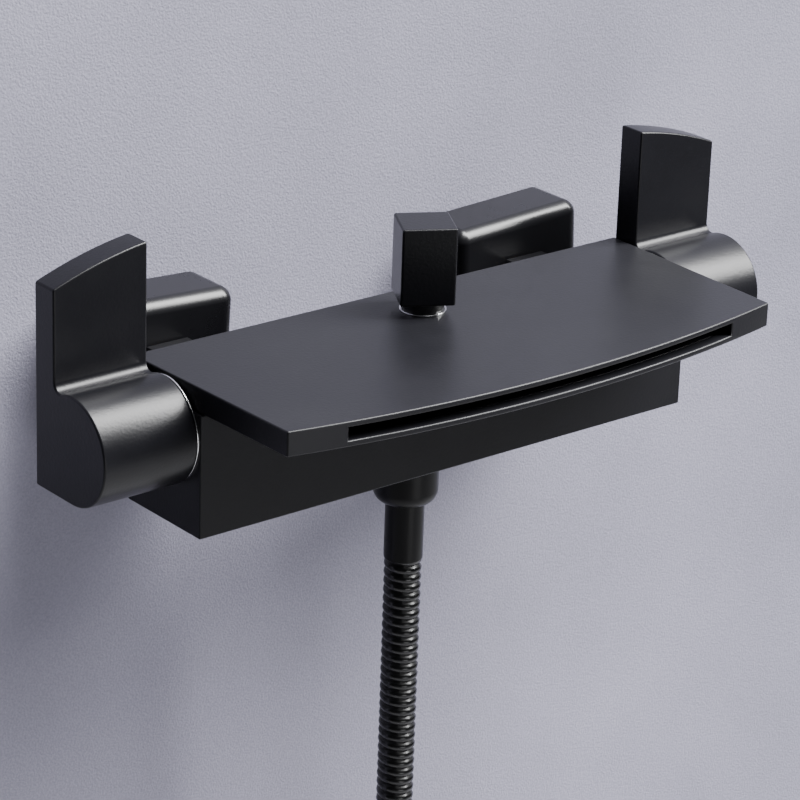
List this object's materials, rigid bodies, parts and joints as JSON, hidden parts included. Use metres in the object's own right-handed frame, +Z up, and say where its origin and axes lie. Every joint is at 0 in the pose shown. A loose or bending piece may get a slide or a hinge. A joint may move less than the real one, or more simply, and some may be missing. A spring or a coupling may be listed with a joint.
{
  "type": "wall mounted bath mixer",
  "caption": "Wall mounted bath mixer with a flat waterfall spout, upright lever handles at its ends, a pull-up diverter knob and a shower hose.",
  "frame": {"origin": "midway between the two wall inlets, on the face of the finished wall", "axes": "+X to the right along the mixer as seen from the room, +Y into the wall, +Z up"},
  "size_m": [0.2966, 0.1575, 0.5755],
  "materials": {
    "satin_black_body": "satin black powder coat on cast brass",
    "satin_black_spout": "satin black powder coat on brass plate",
    "satin_black_handle": "satin black powder coat on a solid lever",
    "satin_black_knob": "satin black powder coat",
    "gloss_black_union": "semi-gloss black coat",
    "gloss_black_hose_fittings": "semi-gloss black coat",
    "black_hose": "black coated double-lock metal hose",
    "bright_trim": "bright steel edge",
    "brass_parts": "machined brass",
    "screw_steel": "stainless steel",
    "disc_ceramic": "lapped ceramic",
    "seal_rubber": "black nitrile rubber",
    "vane_plastic": "moulded acetal",
    "tie_band": "flexible tie band"
  },
  "bodies": {
    "mixer_body": {"body": "satin_black_body", "spout_shell": "satin_black_spout", "spout_floor": "satin_black_spout", "spout_gasket": "seal_rubber", "flow_guide": "vane_plastic", "spout_screws": "screw_steel", "floor_screws": "screw_steel", "left_trim_ring": "bright_trim", "left_cartridge_nut": "brass_parts", "left_cartridge_housing": "brass_parts", "left_stem_seal": "seal_rubber", "left_fixed_disc": "disc_ceramic", "left_seat_seal": "seal_rubber", "right_trim_ring": "bright_trim", "right_cartridge_nut": "brass_parts", "right_cartridge_housing": "brass_parts", "right_stem_seal": "seal_rubber", "right_fixed_disc": "disc_ceramic", "right_seat_seal": "seal_rubber", "diverter_bonnet": "satin_black_knob", "diverter_trim_ring": "bright_trim", "diverter_stem_seal": "seal_rubber", "diverter_spring": "screw_steel", "left_inlet_nozzle": "brass_parts", "left_union_nut": "gloss_black_union", "left_union_washer": "seal_rubber", "left_eccentric_union": "brass_parts", "left_union_cover": "gloss_black_union", "right_inlet_nozzle": "brass_parts", "right_union_nut": "gloss_black_union", "right_union_washer": "seal_rubber", "right_eccentric_union": "brass_parts", "right_union_cover": "gloss_black_union", "outlet_nipple": "brass_parts", "hose_nut": "gloss_black_hose_fittings", "hose_washer": "seal_rubber", "hose_ferrule": "gloss_black_hose_fittings", "hose": "black_hose", "hose_coil": "black_hose", "hose_tail": "black_hose", "hose_tie": "tie_band", "hose_end_ferrule": "gloss_black_hose_fittings", "hose_end_washer": "seal_rubber"},
    "left_handle": {"left_handle": "satin_black_handle", "left_handle_screw": "screw_steel", "left_cartridge_stem": "brass_parts", "left_turning_disc": "disc_ceramic"},
    "right_handle": {"right_handle": "satin_black_handle", "right_handle_screw": "screw_steel", "right_cartridge_stem": "brass_parts", "right_turning_disc": "disc_ceramic"},
    "diverter_spool": {"diverter_spool": "brass_parts", "diverter_seals": "seal_rubber"},
    "diverter_knob": {"diverter_knob": "satin_black_knob", "diverter_knob_screw": "screw_steel", "diverter_stem": "screw_steel"},
    "hose_end_nut": {"hose_end_nut": "gloss_black_hose_fittings"}
  },
  "joints": [
    {"name": "left_handle_turn", "type": "hinge", "parent": "mixer_body", "child": "left_handle", "pos_m": [0, -0.064, 0.003], "axis": [1, 0, 0], "range_deg": [0, 90]},
    {"name": "right_handle_turn", "type": "hinge", "parent": "mixer_body", "child": "right_handle", "pos_m": [0, -0.064, 0.003], "axis": [1, 0, 0], "range_deg": [0, 90]},
    {"name": "diverter_lift", "type": "slide", "parent": "mixer_body", "child": "diverter_spool", "axis": [0, 0, 1], "range_m": [0, 0.008], "stiffness_N_per_m": 150, "springref_m": -0.01, "deforming": ["diverter_spring"]},
    {"name": "diverter_knob_spin", "type": "hinge", "parent": "diverter_spool", "child": "diverter_knob", "pos_m": [0, -0.064, 0.03], "axis": [0, 0, 1], "continuous": true},
    {"name": "hose_end_nut_spin", "type": "hinge", "parent": "mixer_body", "child": "hose_end_nut", "pos_m": [0.00699, -0.0253, -0.50379], "axis": [-0.4695, 0, -0.8829], "continuous": true}
  ]
}
